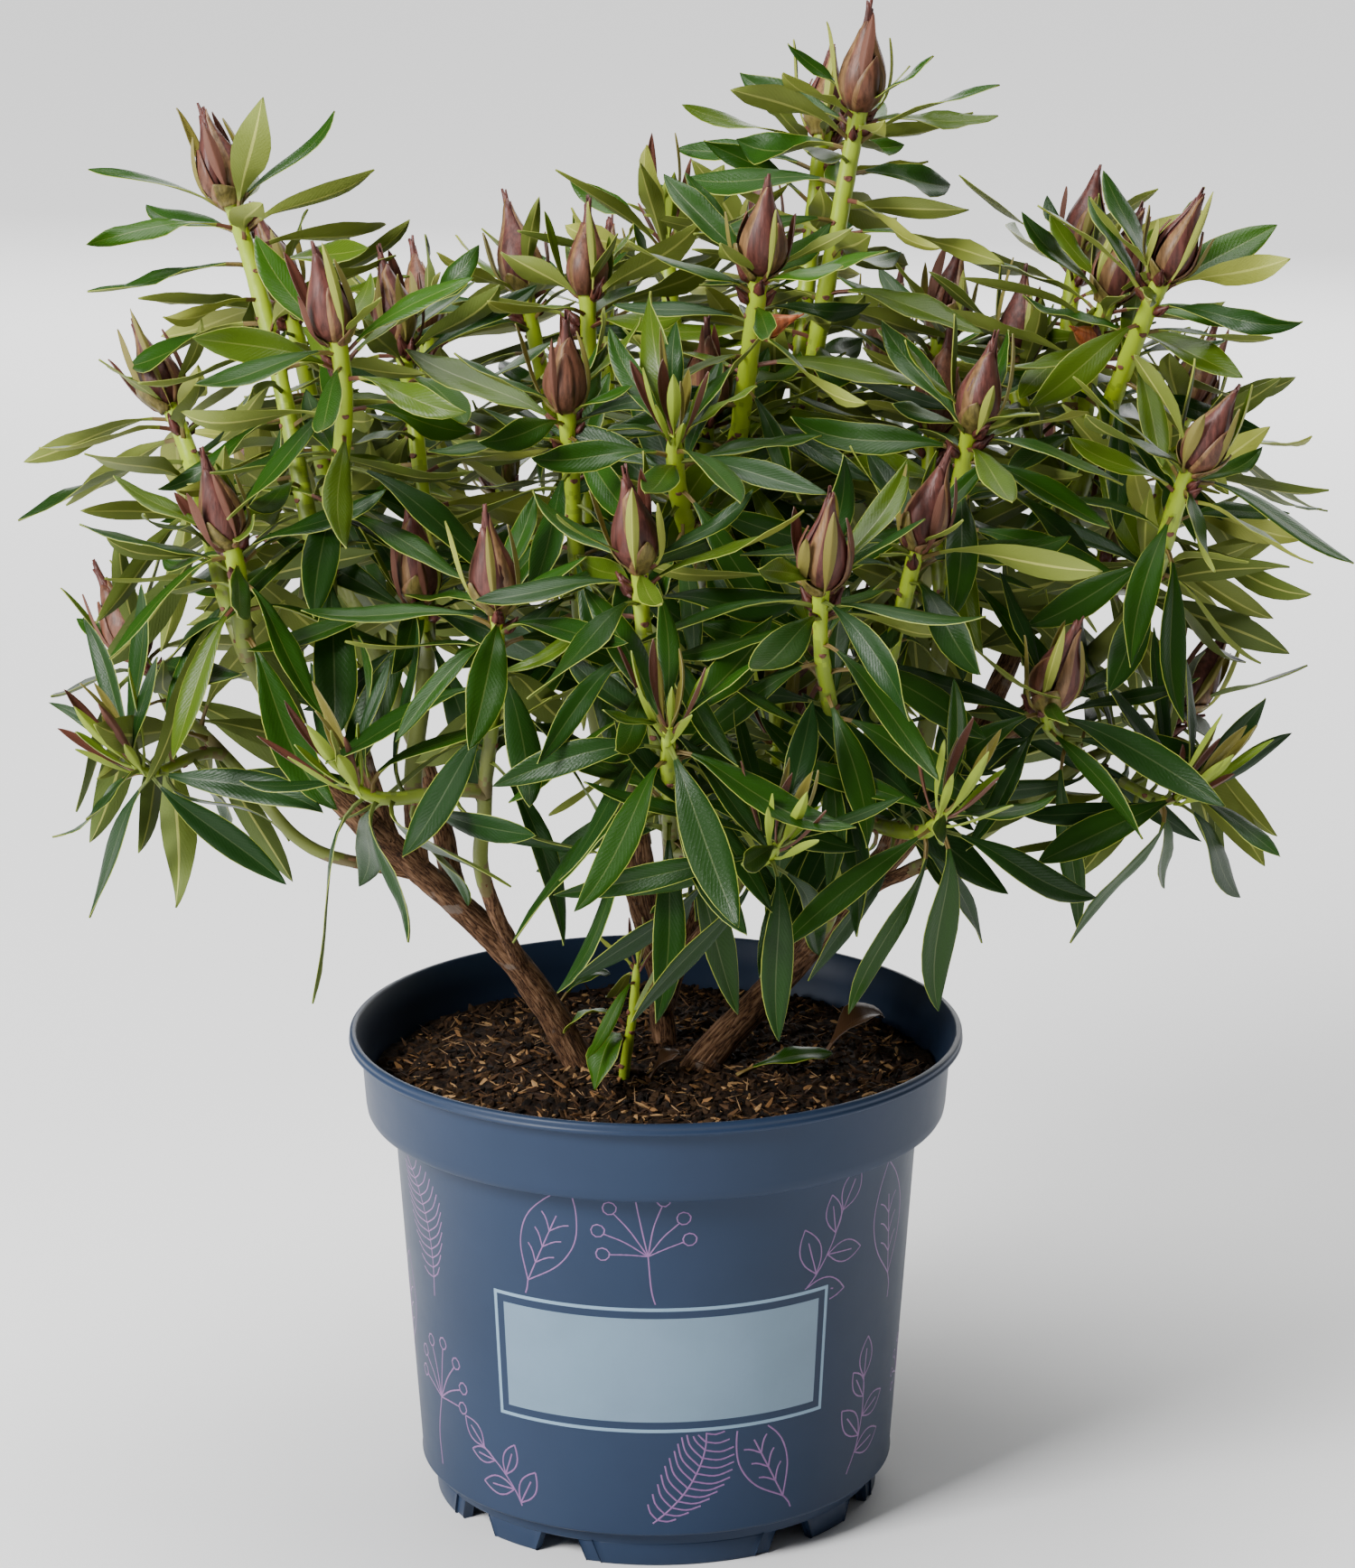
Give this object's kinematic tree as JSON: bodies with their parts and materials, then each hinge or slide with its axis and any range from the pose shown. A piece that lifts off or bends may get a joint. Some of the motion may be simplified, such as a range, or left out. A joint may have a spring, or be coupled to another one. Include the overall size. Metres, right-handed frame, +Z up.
{
  "type": "potted rhododendron",
  "caption": "Bushy young rhododendron with narrow leathery leaves and closed purple-brown flower buds on green shoots, in a round blue plastic nursery pot with a deep rim band.",
  "frame": {"origin": "middle of the pot's flat underside", "axes": "+Z up from the underside to the top of the plant, +X to the right of the front, and the front, where the label is, faces -Y"},
  "size_m": [0.481, 0.4195, 0.5585],
  "materials": {
    "pot": "satin moulded plastic",
    "soil": "moist bark compost",
    "bark": "rough flaky bark",
    "leaves": "leathery leaf, satin above",
    "young_leaves": "fresh green leaf"
  },
  "bodies": {
    "root": {"pot": "pot", "root_ball": "soil", "stem_left": "bark", "stem_centre": "bark", "stem_right": "bark", "bough_back_low": "bark", "bough_centre_back": "bark", "bough_centre_front": "bark", "bough_centre_left": "bark", "bough_centre_right": "bark", "bough_centre_top": "bark", "bough_left_front": "bark", "bough_left_inner": "bark", "bough_left_low": "bark", "bough_left_outer": "bark", "bough_left_rear": "bark", "bough_left_upright": "bark", "bough_right_front": "bark", "bough_right_inner": "bark", "bough_right_low": "bark", "bough_right_outer": "bark", "bough_right_rear": "bark", "bough_right_top": "bark", "bough_right_upper": "bark", "leaves_back_low": "leaves", "leaves_centre_back": "leaves", "leaves_centre_front": "leaves", "leaves_centre_left": "leaves", "leaves_centre_right": "leaves", "leaves_centre_top": "leaves", "leaves_left_front": "leaves", "leaves_left_inner": "leaves", "leaves_left_low": "leaves", "leaves_left_outer": "leaves", "leaves_left_rear": "leaves", "leaves_left_top": "leaves", "leaves_right_front": "leaves", "leaves_right_inner": "leaves", "leaves_right_low": "leaves", "leaves_right_outer": "leaves", "leaves_right_rear": "leaves", "leaves_right_top": "leaves", "leaves_right_upper": "leaves", "leaves_young_shoot": "young_leaves"}
  },
  "joints": []
}
